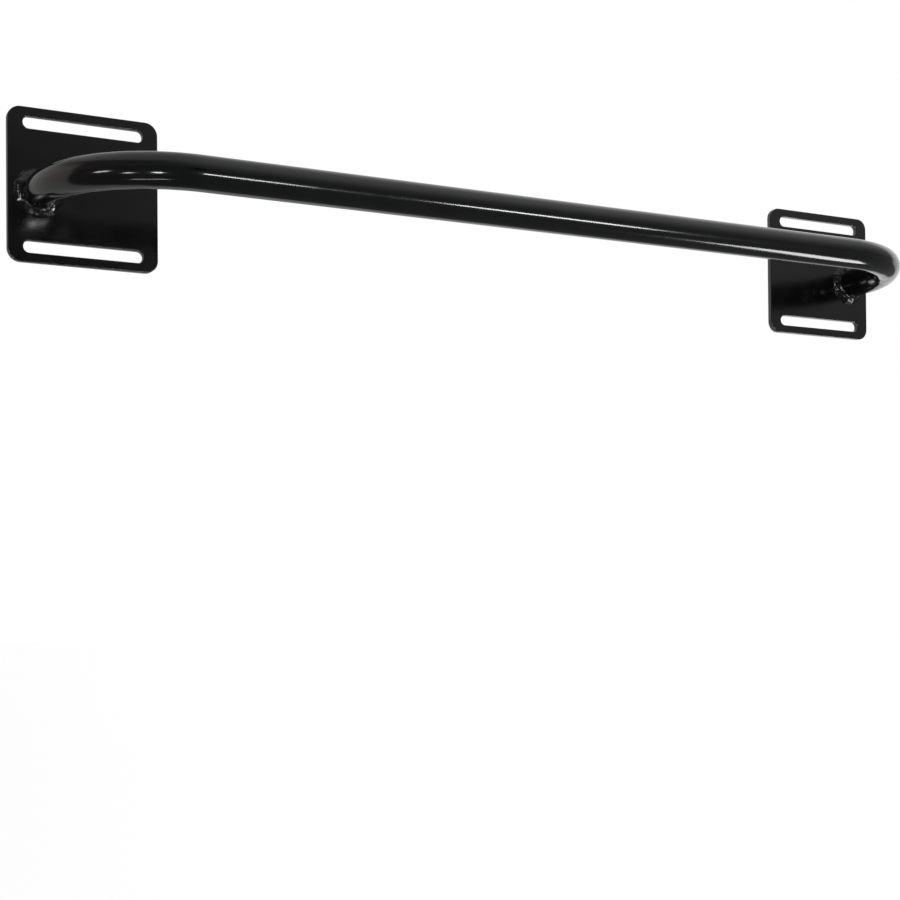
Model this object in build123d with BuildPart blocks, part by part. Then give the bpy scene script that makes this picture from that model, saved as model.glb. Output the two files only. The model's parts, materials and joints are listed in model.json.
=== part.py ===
from build123d import *
import os

# Wall-mounted pull up bar: one bent round steel tube, welded at each end to a slotted plate.
# Millimetres. The origin is on the wall plane, midway between the two plates and at the middle
# of their slot pattern. +X runs along the bar, +Y points into the wall and +Z points up.

# Driving dimensions
overall_width = 1000.0  # over the outer edges of the two plates
bar_reach = 135.0  # from the wall plane out to the axis of the bar
tube_diameter = 31.75  # 1 1/4 in
tube_wall = 2.6
bend_radius = 108.0  # to the centreline of the tube
plate_side = 140.0
plate_thickness = 6.0
plate_corner_radius = 12.0
plate_edge_round = 0.8  # cut edges, eased before coating
slot_length = 112.0  # end to end
slot_width = 11.0
slot_row_spacing = 112.0  # centre of the upper slot to centre of the lower one
foot_inset = 27.5  # outer edge of a plate to the axis of the tube's foot
tube_drop = 7.0  # middle of the plates down to the axis of the tube
weld_leg = 7.5  # reach of the fillet weld along the plate and along the tube
weld_crown = 1.2  # how far the weld bulges out between its two toes

# Worked out from the driving dimensions
tube_radius = tube_diameter / 2
foot_x = overall_width / 2 - foot_inset
plate_x = overall_width / 2 - plate_side / 2
plate_front = -plate_thickness
tube_z = -tube_drop
sides = {"left": -1, "right": 1}

os.makedirs("parts", exist_ok=True)

# The tube: a straight bar, a quarter bend at each end, and a short arm that meets its plate
# square on. Its open ends are closed by the plates that they butt against.
with BuildPart() as bar_tube:
    with BuildLine() as tube_axis:
        FilletPolyline(
            (-foot_x, plate_front, tube_z),
            (-foot_x, -bar_reach, tube_z),
            (foot_x, -bar_reach, tube_z),
            (foot_x, plate_front, tube_z),
            radius=bend_radius,
        )
    with BuildSketch(Plane(tube_axis.line ^ 0)):
        Circle(tube_radius)
        Circle(tube_radius - tube_wall, mode=Mode.SUBTRACT)
    sweep()
bar_tube.part.label = "bar_tube"
export_step(bar_tube.part, "parts/bar_tube.step")

# The wall plates: flat squares with round corners, each with two long level slots for the
# screws. The wall side keeps its sharp slot rims, and every other rim is eased.
for side_name, side in sides.items():
    with BuildPart() as wall_plate:
        with BuildSketch(Plane.XZ):
            with Locations((side * plate_x, 0)):
                RectangleRounded(plate_side, plate_side, plate_corner_radius)
            with Locations((side * plate_x, -slot_row_spacing / 2), (side * plate_x, slot_row_spacing / 2)):
                SlotOverall(slot_length, slot_width, mode=Mode.SUBTRACT)
        extrude(amount=plate_thickness)
        front_rims = wall_plate.faces().sort_by(Axis.Y)[0].edges()
        back_outline = wall_plate.faces().sort_by(Axis.Y)[-1].outer_wire().edges()
        fillet(front_rims + back_outline, plate_edge_round)
    wall_plate.part.label = f"{side_name}_wall_plate"
    export_step(wall_plate.part, f"parts/{side_name}_wall_plate.step")

# The welds: one all-round fillet of weld metal at each foot, filling the corner between the
# outside of the tube and the front of the plate, and bulging slightly between its toes.
for side_name, side in sides.items():
    with BuildPart() as weld_bead:
        with BuildSketch(Plane.XY.offset(tube_z)):
            with BuildLine():
                root_corner = (side * foot_x + tube_radius, plate_front)
                plate_toe = (side * foot_x + tube_radius + weld_leg, plate_front)
                tube_toe = (side * foot_x + tube_radius, plate_front - weld_leg)
                Line(tube_toe, root_corner)
                Line(root_corner, plate_toe)
                SagittaArc(plate_toe, tube_toe, weld_crown)
            make_face()
        revolve(axis=Axis((side * foot_x, 0, tube_z), (0, 1, 0)))
    weld_bead.part.label = f"{side_name}_weld_bead"
    export_step(weld_bead.part, f"parts/{side_name}_weld_bead.step")
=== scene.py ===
import json
import math

import bmesh
import bpy
import numpy as np
from mathutils import Matrix, Vector


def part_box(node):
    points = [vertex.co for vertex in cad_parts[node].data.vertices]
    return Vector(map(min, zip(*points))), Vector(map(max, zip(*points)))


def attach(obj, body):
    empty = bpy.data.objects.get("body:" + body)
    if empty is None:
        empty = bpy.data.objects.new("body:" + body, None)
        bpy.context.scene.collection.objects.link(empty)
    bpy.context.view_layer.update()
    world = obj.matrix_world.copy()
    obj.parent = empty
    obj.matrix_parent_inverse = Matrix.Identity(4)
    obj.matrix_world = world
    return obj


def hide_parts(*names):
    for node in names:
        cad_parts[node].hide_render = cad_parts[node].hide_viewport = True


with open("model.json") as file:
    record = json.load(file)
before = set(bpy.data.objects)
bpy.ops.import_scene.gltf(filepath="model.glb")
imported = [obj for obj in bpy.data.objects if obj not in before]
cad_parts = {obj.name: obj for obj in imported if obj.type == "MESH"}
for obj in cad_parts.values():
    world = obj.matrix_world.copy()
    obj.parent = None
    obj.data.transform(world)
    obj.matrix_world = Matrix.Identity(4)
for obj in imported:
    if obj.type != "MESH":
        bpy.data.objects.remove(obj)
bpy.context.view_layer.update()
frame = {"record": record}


# ---------------------------------------------------------------------------------------------
# The bar tube: one length of round steel tube, bent cold through a right angle near each end
# and cut square where it meets the plates. It is powder coated in gloss black, which flows out
# into a faint orange peel, and the cold bends leave a trace of flattening and rippling.
# ---------------------------------------------------------------------------------------------
tube_low, tube_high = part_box("bar_tube")
tube_radius = (tube_high.z - tube_low.z) / 2
tube_wall = 0.0026
tube_bore = tube_radius - tube_wall
tube_z = (tube_high.z + tube_low.z) / 2
foot_x = tube_high.x - tube_radius
plate_front = tube_high.y
bar_y = tube_low.y + tube_radius
bend_radius = 0.108
arm_length = plate_front - bar_y - bend_radius
bend_length = bend_radius * math.pi / 2
tube_length = 2 * (arm_length + bend_length + foot_x - bend_radius)
bend_flattening = 0.018  # share of the radius lost across the bend
bend_ripple = 0.00007  # height of the ripples that bending leaves
bend_ripple_pitch = 0.0235
bend_ripple_outside = 0.3  # share of that height on the outer side, where the inner side has 1.3


def tube_line(run):
    """The centreline at distances run from the left foot.

    Measured from the nearer foot, the line goes straight out along the arm, then turns
    steadily through a quarter circle, then runs straight along the grip. The right half is
    the left half with its x reversed. Also gives how far it has turned, and the direction
    that points out of the bend.
    """
    from_foot = np.minimum(run, tube_length - run)
    side = np.where(run <= tube_length / 2, -1.0, 1.0)
    turn = np.clip((from_foot - arm_length) / bend_radius, 0.0, math.pi / 2)
    past_bend = np.maximum(from_foot - arm_length - bend_length, 0.0)
    x = foot_x - bend_radius * (1 - np.cos(turn)) - past_bend
    y = plate_front - np.minimum(from_foot, arm_length) - bend_radius * np.sin(turn)
    line = np.stack([side * x, y, np.full_like(x, tube_z)], -1)
    outward = np.stack([side * np.cos(turn), -np.sin(turn), np.zeros_like(x)], -1)
    return line, turn, outward


def tube_skin(run, radius, around):
    """A round section carried along the centreline.

    Each ring is the centreline point plus the radius times (cosine of the angle times the
    way out of the bend, plus sine of the angle times up). In a bend the section is squeezed a
    little in the plane of the bend, and ripples run across it, deepest on its inner side.
    """
    line, turn, outward = tube_line(run)
    angle = np.linspace(0, 2 * math.pi, around, endpoint=False)
    in_bend = np.sin(2 * turn)[:, None]
    squeezed = 1 - bend_flattening * in_bend * np.cos(2 * angle)[None, :] / 2
    ripple = bend_ripple * in_bend * (1 + 2 * bend_ripple_outside - np.cos(angle))[None, :] / 2
    ripple = ripple * np.sin(2 * math.pi * run / bend_ripple_pitch)[:, None]
    reach = (radius[:, None] * squeezed + ripple)[..., None]
    way = np.cos(angle)[None, :, None] * outward[:, None, :]
    way = way + np.sin(angle)[None, :, None] * np.array([0.0, 0.0, 1.0])
    return line[:, None, :] + reach * way


merge_distance = 0.000001
sharp_degrees = 35


def put_in_mesh(name, sheets):
    """Makes one closed piece from sheets: grids of points, each with two flags.

    Neighbouring points of a grid make its faces, and the flags say whether its last row
    joins its first, and its last column its first. Points that lie together are merged, and
    then the faces are turned to point out of the closed shape.
    """
    points, faces, start = [], [], 0
    for grid, closed_rows, closed_columns in sheets:
        rows, columns = grid.shape[:2]
        number = start + np.arange(rows * columns).reshape(rows, columns)
        if closed_rows:
            number = np.concatenate([number, number[:1]])
        if closed_columns:
            number = np.concatenate([number, number[:, :1]], 1)
        corners = [number[:-1, :-1], number[:-1, 1:], number[1:, 1:], number[1:, :-1]]
        faces.append(np.stack(corners, -1).reshape(-1, 4))
        points.append(grid.reshape(-1, 3))
        start += rows * columns
    mesh = bpy.data.meshes.new(name)
    mesh.from_pydata(np.concatenate(points), [], np.concatenate(faces).tolist())
    shell = bmesh.new()
    shell.from_mesh(mesh)
    bmesh.ops.remove_doubles(shell, verts=shell.verts, dist=merge_distance)
    bmesh.ops.recalc_face_normals(shell, faces=shell.faces)
    shell.to_mesh(mesh)
    shell.free()
    mesh.polygons.foreach_set("use_smooth", np.ones(len(mesh.polygons), bool))
    mesh.set_sharp_from_angle(angle=math.radians(sharp_degrees))
    piece = bpy.data.objects.new(name, mesh)
    bpy.context.scene.collection.objects.link(piece)
    return piece


tint_patch = 0.031  # size of the patches where the black is a little lighter or darker
tint_spread = 0.25
gloss_patch = 0.018  # size of the patches where the gloss is a little higher or lower
gloss_spread = 0.15
flow_size = 5  # the flow of the coat, against the orange peel's size and depth
flow_depth = 1.2


def powder_coat(name, colour, roughness, refraction, peel_size, peel_depth):
    """Black powder coat: a dark base, a clear skin, and an orange peel of soft bumps.

    Two sizes of noise make the bumps, a fine one for the peel and a broad one for the flow
    of the coat, and a slow noise shifts the gloss and the black from place to place.
    """
    coat = bpy.data.materials.new(name)
    coat.use_nodes = True
    nodes, links = coat.node_tree.nodes, coat.node_tree.links
    shader = nodes["Principled BSDF"]
    place = nodes.new("ShaderNodeTexCoord")

    def noise(size, detail):
        """Noise whose patches are about the given size."""
        made = nodes.new("ShaderNodeTexNoise")
        made.inputs["Scale"].default_value = 1 / size
        made.inputs["Detail"].default_value = detail
        links.new(place.outputs["Object"], made.inputs["Vector"])
        return made.outputs["Fac"]

    def between(value, low, high):
        """Noise mostly lies from 0.3 to 0.7, and this stretches that to go from low to high."""
        made = nodes.new("ShaderNodeMapRange")
        made.inputs["From Min"].default_value = 0.3
        made.inputs["From Max"].default_value = 0.7
        made.inputs["To Min"].default_value = low
        made.inputs["To Max"].default_value = high
        links.new(value, made.inputs["Value"])
        return made.outputs["Result"]

    def bumps(value, depth, below=None):
        """Bumps of the given depth, on top of the bumps below if there are any."""
        made = nodes.new("ShaderNodeBump")
        made.inputs["Strength"].default_value = 1.0
        made.inputs["Distance"].default_value = depth
        links.new(value, made.inputs["Height"])
        if below is not None:
            links.new(below, made.inputs["Normal"])
        return made.outputs["Normal"]

    tint = nodes.new("ShaderNodeMix")
    tint.data_type = "RGBA"
    tint.inputs["A"].default_value = (*((1 - tint_spread) * c for c in colour), 1)
    tint.inputs["B"].default_value = (*((1 + tint_spread) * c for c in colour), 1)
    links.new(between(noise(tint_patch, 3), 0, 1), tint.inputs["Factor"])
    links.new(tint.outputs["Result"], shader.inputs["Base Color"])
    duller, glossier = (1 + gloss_spread) * roughness, (1 - gloss_spread) * roughness
    links.new(between(noise(gloss_patch, 4), glossier, duller), shader.inputs["Roughness"])
    flow = bumps(noise(flow_size * peel_size, 2), flow_depth * peel_depth)
    links.new(bumps(noise(peel_size, 2), peel_depth, flow), shader.inputs["Normal"])
    shader.inputs["IOR"].default_value = refraction
    return coat


points_around_tube = 128
arm_rings, bend_rings, grip_rings = 8, 72, 39  # on half of the tube
arm_runs = np.linspace(0, arm_length, arm_rings)
bend_runs = arm_length + np.linspace(0, bend_length, bend_rings + 1)[1:]
grip_runs = np.linspace(arm_length + bend_length, tube_length / 2, grip_rings + 1)[1:]
half_runs = np.concatenate([arm_runs, bend_runs, grip_runs])
runs = np.concatenate([half_runs, (tube_length - half_runs)[-2::-1]])
out_and_back = np.concatenate([runs, runs[::-1]])
radii = np.concatenate([np.full_like(runs, tube_radius), np.full_like(runs, tube_bore)])
tube_points = tube_skin(out_and_back, radii, points_around_tube)
bar_tube = put_in_mesh("bar_tube_gloss", [(tube_points, True, True)])
bar_tube.data.materials.append(
    powder_coat(
        "gloss_black_tube_coat",
        colour=(0.0047, 0.0051, 0.0057),
        roughness=0.12,
        refraction=1.5,
        peel_size=0.0013,
        peel_depth=0.000008,
    )
)
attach(bar_tube, "root")
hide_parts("bar_tube")


# ---------------------------------------------------------------------------------------------
# The two wall plates: squares of hot-rolled steel plate, laser cut with round corners and two
# long level slots for the screws. The cut edges are eased before coating, and the coat on the
# broad faces is a little less glossy than on the tube.
# ---------------------------------------------------------------------------------------------
plate_edge_round = 0.0008
plate_corner = 0.012
slots = next(m for m in frame["record"]["mounts"] if m["name"] == "wall_slots")["dims"]
mm_in_m = 1000
slot_half_length = slots["slot_length_mm"] / 2 / mm_in_m
slot_half_width = slots["hole_r_mm"] / mm_in_m
slot_up = slots["spacing_y_mm"] / 2 / mm_in_m
corner_steps = 12
side_steps = 16
ease_steps = 7
band_shares = np.array([0, 0.03, 0.15, 0.3, 0.5, 0.7, 0.85, 0.97, 1])  # from a slot to the rim


def outline(half_width, half_height, corner, inset):
    """A rectangle with round corners, pulled in by inset, as a closed row of (x, z) points.

    Four quarter circles, one at each corner's centre, with the straight sides between them
    divided evenly, so that outlines of different sizes match point for point.
    """
    radius = corner - inset
    quarter = np.linspace(0, math.pi / 2, corner_steps)
    arcs = [
        np.stack([
            sx * (half_width - corner) + radius * np.cos(quarter + start),
            sz * (half_height - corner) + radius * np.sin(quarter + start),
        ], -1)
        for sx, sz, start in ((1, 1, 0), (-1, 1, math.pi / 2), (-1, -1, math.pi), (1, -1, 1.5 * math.pi))
    ]
    share = np.linspace(0, 1, side_steps + 1)[1:-1, None]
    row = []
    for arc, following in zip(arcs, arcs[1:] + arcs[:1]):
        row += [arc, arc[-1] + share * (following[0] - arc[-1])]
    return np.concatenate(row)


def at_depth(flat, y):
    """Flat (x, z) points set at depth y."""
    return np.stack([flat[..., 0], np.broadcast_to(y, flat.shape[:-1]), flat[..., 1]], -1)


def plate_edge(half_width, half_height, corner, centre, thick, outer):
    """The cut edge round an outline: the easing curve, the wall, and the easing curve again.

    The edge's profile is a quarter circle from the front face to the wall and another from
    the wall to the back, carried round the outline. An outer edge pulls in towards its own
    middle at the faces, and a slot opens out.
    """
    ease = np.linspace(0, math.pi / 2, ease_steps)
    pull = plate_edge_round * (1 - np.sin(ease))
    sink = plate_edge_round * (1 - np.cos(ease))
    insets = np.concatenate([pull, pull[::-1]]) * (1 if outer else -1)
    depths = np.concatenate([-thick + sink, -sink[::-1]])
    rings = [
        at_depth(outline(half_width, half_height, corner, inset) + centre, depth)
        for inset, depth in zip(insets, depths)
    ]
    return np.stack(rings)


def plate_face(rim_row, slot_rows, centre, y):
    """One broad face, between the rim and the two slots.

    Each slot has a band of its own, where the points go straight from the slot's outline to
    the matching points of the rim, held back at the band's inner edge. Between the two bands
    is a plain grid. Rounding drops places that differ only in their last digits.
    """
    flat = rim_row[:, [0, 2]] - centre
    side_heights = np.unique(np.round(flat[np.isclose(flat[:, 0], flat[:, 0].max()), 1], 6))
    band_edge = side_heights[side_heights < slot_up - 2 * slot_half_width].max()
    share = band_shares[:, None, None]
    grids = []
    for up, slot_row in slot_rows:
        beyond = np.stack([flat[:, 0], up * np.maximum(up * flat[:, 1], band_edge)], -1)
        rim_points = at_depth(beyond + centre, y)
        grids.append((slot_row * (1 - share) + rim_points * share, False, True))
    across = np.unique(np.round(flat[:, 0], 7))
    upward = side_heights[np.abs(side_heights) <= band_edge + merge_distance]
    middle = np.stack(np.meshgrid(across, upward), -1)
    grids.append((at_depth(middle + centre, y), False, False))
    return grids


for side_name in ("left", "right"):
    low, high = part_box(side_name + "_wall_plate")
    centre = np.array([(low.x + high.x) / 2, (low.z + high.z) / 2])
    half, thick = (high.x - low.x) / 2, high.y - low.y
    rim = plate_edge(half, half, plate_corner, centre, thick, True)
    slot_edges = []
    for up in (-1, 1):
        slot_centre = centre + (0, up * slot_up)
        edge = plate_edge(slot_half_length, slot_half_width, slot_half_width, slot_centre, thick, False)
        slot_edges.append((up, edge))
    sheets = [(rim, False, True)] + [(edge, False, True) for up, edge in slot_edges]
    for face in (0, -1):
        slot_rows = [(up, edge[face]) for up, edge in slot_edges]
        sheets += plate_face(rim[face], slot_rows, centre, rim[face][0, 1])
    plate = put_in_mesh(side_name + "_wall_plate_satin", sheets)
    plate.data.materials.append(
        powder_coat(
            side_name + "_satin_black_plate_coat",
            colour=(0.0013, 0.0013, 0.0015),
            roughness=0.17,
            refraction=1.75,
            peel_size=0.0013,
            peel_depth=0.000009,
        )
    )
    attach(plate, "root")
    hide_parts(side_name + "_wall_plate")


# ---------------------------------------------------------------------------------------------
# The two weld beads: weld metal run all round the foot of the tube, in the corner between tube
# and plate. It freezes in overlapping ripples, and is coated along with the rest.
# ---------------------------------------------------------------------------------------------
points_around_weld = 720
points_across_weld = 31
toe_up_tube = 0.9  # how far the weld reaches up the tube, as a share of its leg
toe_up_tube_spread = 0.07
toe_along_plate = 0.95
toe_along_plate_spread = 0.06
ripple_count = 38
ripple_height = 0.00022
ripple_height_spread = 0.6
ripple_place_spread = 0.5  # how far a ripple strays from its place, against their spacing
ripple_sweep = 1.1
lump_height = 0.00035
weld_crown = 0.0007
weld_sink = 0.0001  # how far its hidden sides run into the tube and the plate


def uneven(angle, slowest, fastest, seed):
    """A smooth wander round the foot, mostly between -2 and 2, that averages zero.

    It adds sines of whole numbers of waves, from slowest to fastest, each at a chance phase
    and one over the root of its waves in size, and divides by the root of the sum of their
    squared sizes.
    """
    waves = np.arange(slowest, fastest + 1)
    phases = np.random.default_rng(seed).uniform(0, 2 * math.pi, len(waves))
    sizes = 1 / np.sqrt(waves)
    wander = (sizes[:, None] * np.sin(waves[:, None] * angle + phases[:, None])).sum(0)
    return wander / np.sqrt((sizes**2).sum())


def weld_bead(foot, leg, seed):
    """The bead as a closed profile carried round the foot of the tube.

    The profile's face runs from its toe on the tube to its toe on the plate, bowed out by
    the crown times four times share times one less share. Ripples are a rounded wave in
    angle, swept round by the square of the distance from the middle, and slower lumps lie
    under them. All of it stands out at 45 degrees to the tube and to the plate.
    """
    angle = np.linspace(0, 2 * math.pi, points_around_weld, endpoint=False)
    share = np.linspace(0, 1, points_across_weld)
    up_tube = toe_up_tube * leg * (1 + toe_up_tube_spread * uneven(angle, 2, 14, seed))[:, None]
    plate_wander = toe_along_plate_spread * uneven(angle, 2, 14, seed + 1)
    along_plate = toe_along_plate * leg * (1 + plate_wander)[:, None]
    bow = 4 * share * (1 - share)
    sweep = ripple_sweep * (2 * share - 1) ** 2
    phase = ripple_count * angle / (2 * math.pi) + ripple_place_spread * uneven(angle, 3, 20, seed + 2)
    wave = np.abs(np.sin(math.pi * (phase[:, None] + sweep)))
    height = ripple_height * (1 + ripple_height_spread * uneven(angle, 5, 30, seed + 3))[:, None]
    lumps = lump_height * uneven(angle, 2, 9, seed + 4)[:, None]
    proud = weld_crown * bow + bow**0.5 * (height * wave + lumps)
    out = along_plate * share + proud * math.sqrt(0.5)
    off = up_tube * (1 - share) + proud * math.sqrt(0.5)
    ones = np.ones((len(angle), 1))
    out = np.concatenate([out, along_plate, -weld_sink * ones, -weld_sink * ones], 1)
    off = np.concatenate([off, -weld_sink * ones, -weld_sink * ones, up_tube], 1)
    radius = tube_radius + out
    return np.stack([
        foot[0] + radius * np.cos(angle)[:, None],
        foot[1] - off,
        foot[2] + radius * np.sin(angle)[:, None],
    ], -1)


for side_name, side, seed in (("left", -1, 11), ("right", 1, 42)):
    low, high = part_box(side_name + "_weld_bead")
    bead_points = weld_bead((side * foot_x, plate_front, tube_z), high.y - low.y, seed)
    bead = put_in_mesh(side_name + "_weld_bead_rippled", [(bead_points, True, True)])
    bead.data.materials.append(
        powder_coat(
            side_name + "_gloss_black_weld_coat",
            colour=(0.0024, 0.0025, 0.0028),
            roughness=0.10,
            refraction=1.55,
            peel_size=0.0012,
            peel_depth=0.000012,
        )
    )
    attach(bead, "root")
    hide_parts(side_name + "_weld_bead")


# ---------------------------------------------------------------------------------------------
# The floor: a plain, very pale studio floor, as far below the bar as when it hangs on a wall.
# It glows a little, as a white floor under studio light does, and lends the bar no light.
# ---------------------------------------------------------------------------------------------
floor_half = 400
floor_z = -2.1
floor_glow = 0.45
floor_mesh = bpy.data.meshes.new("pale_floor")
floor_corners = [(-1, -1), (1, -1), (1, 1), (-1, 1)]
floor_points = [(floor_half * x, floor_half * y, floor_z) for x, y in floor_corners]
floor_mesh.from_pydata(floor_points, [], [(0, 1, 2, 3)])
floor = bpy.data.objects.new("pale_floor", floor_mesh)
bpy.context.scene.collection.objects.link(floor)
floor_paint = bpy.data.materials.new("pale_floor_paint")
floor_paint.use_nodes = True
floor_shader = floor_paint.node_tree.nodes["Principled BSDF"]
floor_shader.inputs["Base Color"].default_value = (0.9, 0.9, 0.9, 1)
floor_shader.inputs["Emission Color"].default_value = (1, 1, 1, 1)
floor_shader.inputs["Emission Strength"].default_value = floor_glow
floor.data.materials.append(floor_paint)
floor.visible_glossy = False
floor.visible_diffuse = False


# ---------------------------------------------------------------------------------------------
# The studio: a softbox overhead to the right, a pale ceiling and pale walls behind, in a dim
# glow with one dark place in front, and seven soft lamps. The coat shows them as a grey band
# on top, thin pale rims and bright lines, and the view behind it is plain white.
# ---------------------------------------------------------------------------------------------
softbox_way = (0.696, -0.123, 0.707)
softbox_brightness = 0.55
ceiling_brightness = 0.48
wall_brightness = (0.52, 0.95)  # on the left, and far to the right
glow_brightness = (0.165, 0.31)  # on the left, and on the right
dark_way = (0.20, -0.971, 0.13)
far_left_tint = (1.12, 0.97, 0.96, 1)
world = bpy.data.worlds.new("studio")
bpy.context.scene.world = world
world.use_nodes = True
nodes, links = world.node_tree.nodes, world.node_tree.links
backdrop = nodes["Background"]
looking = nodes.new("ShaderNodeTexCoord").outputs["Generated"]
apart = nodes.new("ShaderNodeSeparateXYZ")
links.new(looking, apart.inputs["Vector"])
right, back, up = apart.outputs


def maths(operation, *values):
    """A Math node on numbers or on other nodes' results."""
    made = nodes.new("ShaderNodeMath")
    made.operation = operation
    for socket, value in zip(made.inputs, values):
        if isinstance(value, bpy.types.NodeSocket):
            links.new(value, socket)
        else:
            socket.default_value = value
    return made.outputs["Value"]


def rise(value, start, end, low=0.0, high=1.0):
    """Goes smoothly from low to high as the value goes from start to end."""
    made = nodes.new("ShaderNodeMapRange")
    made.interpolation_type = "SMOOTHSTEP"
    for name, setting in (("From Min", start), ("From Max", end), ("To Min", low), ("To Max", high)):
        made.inputs[name].default_value = setting
    links.new(value, made.inputs["Value"])
    return made.outputs["Result"]


def facing(way):
    """How nearly one looks in the given way: the cosine of the angle to it."""
    made = nodes.new("ShaderNodeVectorMath")
    made.operation = "DOT_PRODUCT"
    made.inputs[1].default_value = way
    links.new(looking, made.inputs[0])
    return made.outputs["Value"]


# The softbox fades out sideways and towards the horizon, and the ceiling stops short of the far left.
softbox = rise(facing(softbox_way), 0.15, 1.05, 0, softbox_brightness)
softbox = maths("MULTIPLY", softbox, rise(up, 0.25, 0.82))
ceiling = rise(up, 0.66, 0.84, 0, ceiling_brightness)
ceiling = maths("MULTIPLY", ceiling, rise(right, -0.8, -0.5))

# The walls begin a little way behind the bar, and further back the lower one looks, most of all
# on the right. They fade out upwards, and they are dimmer straight behind.
below = maths("MINIMUM", up, 0.0)
low_right = maths("MULTIPLY", maths("MAXIMUM", right, 0.0), rise(below, 0, -0.3))
behind = maths("SUBTRACT", maths("MULTIPLY_ADD", below, 0.4, back), maths("MULTIPLY", low_right, 0.6))
walls = maths("MULTIPLY", rise(behind, 0.04, 0.13), rise(right, 0, 0.9, *wall_brightness))
walls = maths("MULTIPLY", walls, rise(maths("MULTIPLY_ADD", right, -0.3, up), 0.7, 1, 1, 0))
walls = maths("MULTIPLY", walls, rise(back, 0.84, 0.92, 1, 0.4))

# The glow is a third dimmer below, and goes out altogether in the one dark place.
glow = rise(right, 0.1, 0.7, *glow_brightness)
glow = maths("MULTIPLY", glow, rise(up, 0.16, 0.26, 0.65, 1))
glow = maths("MULTIPLY", glow, rise(facing(dark_way), 0.987, 0.995, 1, 0))

around = maths("ADD", maths("MAXIMUM", maths("MAXIMUM", softbox, ceiling), walls), glow)
seen = nodes.new("ShaderNodeLightPath").outputs["Is Camera Ray"]
reflected = maths("MULTIPLY", maths("SUBTRACT", 1.0, seen), around)
links.new(maths("ADD", reflected, seen), backdrop.inputs["Strength"])
wall_tint = nodes.new("ShaderNodeMix")
wall_tint.data_type = "RGBA"
wall_tint.inputs["A"].default_value = far_left_tint
wall_tint.inputs["B"].default_value = (1, 1, 1, 1)
links.new(maths("MAXIMUM", rise(right, -0.9, -0.5), seen), wall_tint.inputs["Factor"])
links.new(wall_tint.outputs["Result"], backdrop.inputs["Color"])

lamp_distance = 1.5
grip_front = bar_y - tube_radius


def lamp(name, reflected_at, toward, width, height, radiance):
    """A soft rectangular lamp that the coat shows at one place, seen in one direction from it.

    It stands a fixed way off along that direction and faces the place. Its power is its area
    times pi times how bright its face looks.
    """
    place = Vector(reflected_at) + lamp_distance * Vector(toward).normalized()
    light = bpy.data.lights.new(name, "AREA")
    light.shape = "RECTANGLE"
    light.size, light.size_y = width, height
    light.energy = math.pi * width * height * radiance
    made = bpy.data.objects.new(name, light)
    turned = Vector(toward).to_track_quat("Z", "Y").to_matrix().to_4x4()
    made.matrix_world = Matrix.Translation(place) @ turned
    made.visible_camera = False
    bpy.context.scene.collection.objects.link(made)


lamp("strip_far_left", (-0.448, -0.118, -0.011), (-0.90, -0.37, -0.21), 0.30, 0.10, 20)
lamp("strip_left", (-0.430, -0.131, -0.013), (-0.64, -0.60, -0.47), 0.16, 0.10, 25)
lamp("strip_near_left", (-0.407, -0.142, -0.013), (-0.32, -0.82, -0.47), 0.20, 0.10, 40)
lamp("strip_near", (-0.330, grip_front, tube_z), (0.335, -0.90, -0.27), 0.26, 0.10, 29)
lamp("strip_right", (-0.035, grip_front, tube_z), (0.515, -0.81, -0.25), 0.36, 0.10, 38)
lamp("low_strip_left", (-0.405, -0.141, -0.018), (-0.20, -0.28, -0.94), 0.60, 0.04, 15)
lamp("low_strip_right", (0.340, -0.145, -0.020), (0.62, -0.23, -0.735), 0.60, 0.22, 14)

bpy.context.scene.view_settings.view_transform = "Standard"


# ---------------------------------------------------------------------------------------------
# The camera: a moderately long lens, below the bar and well to its left, turned to the right.
# It is held nearly level with its lens shifted upwards, so that upright edges stay parallel.
# ---------------------------------------------------------------------------------------------
camera_place = (-0.8972, -1.5659, -0.4055)
turned_right = 28.381
tilted_up = 0.768
rolled = 0.483
camera = bpy.data.objects.new("camera", bpy.data.cameras.new("camera"))
camera.data.sensor_width = 36
camera.data.lens = 70.145
camera.data.shift_y = 0.1761
heading = Matrix.Rotation(math.radians(-turned_right), 4, "Z")
tilt = Matrix.Rotation(math.radians(90 + tilted_up), 4, "X")
roll = Matrix.Rotation(math.radians(-rolled), 4, "Z")
turn = heading @ tilt @ roll
camera.matrix_world = Matrix.Translation(camera_place) @ turn
bpy.context.scene.collection.objects.link(camera)
bpy.context.scene.camera = camera
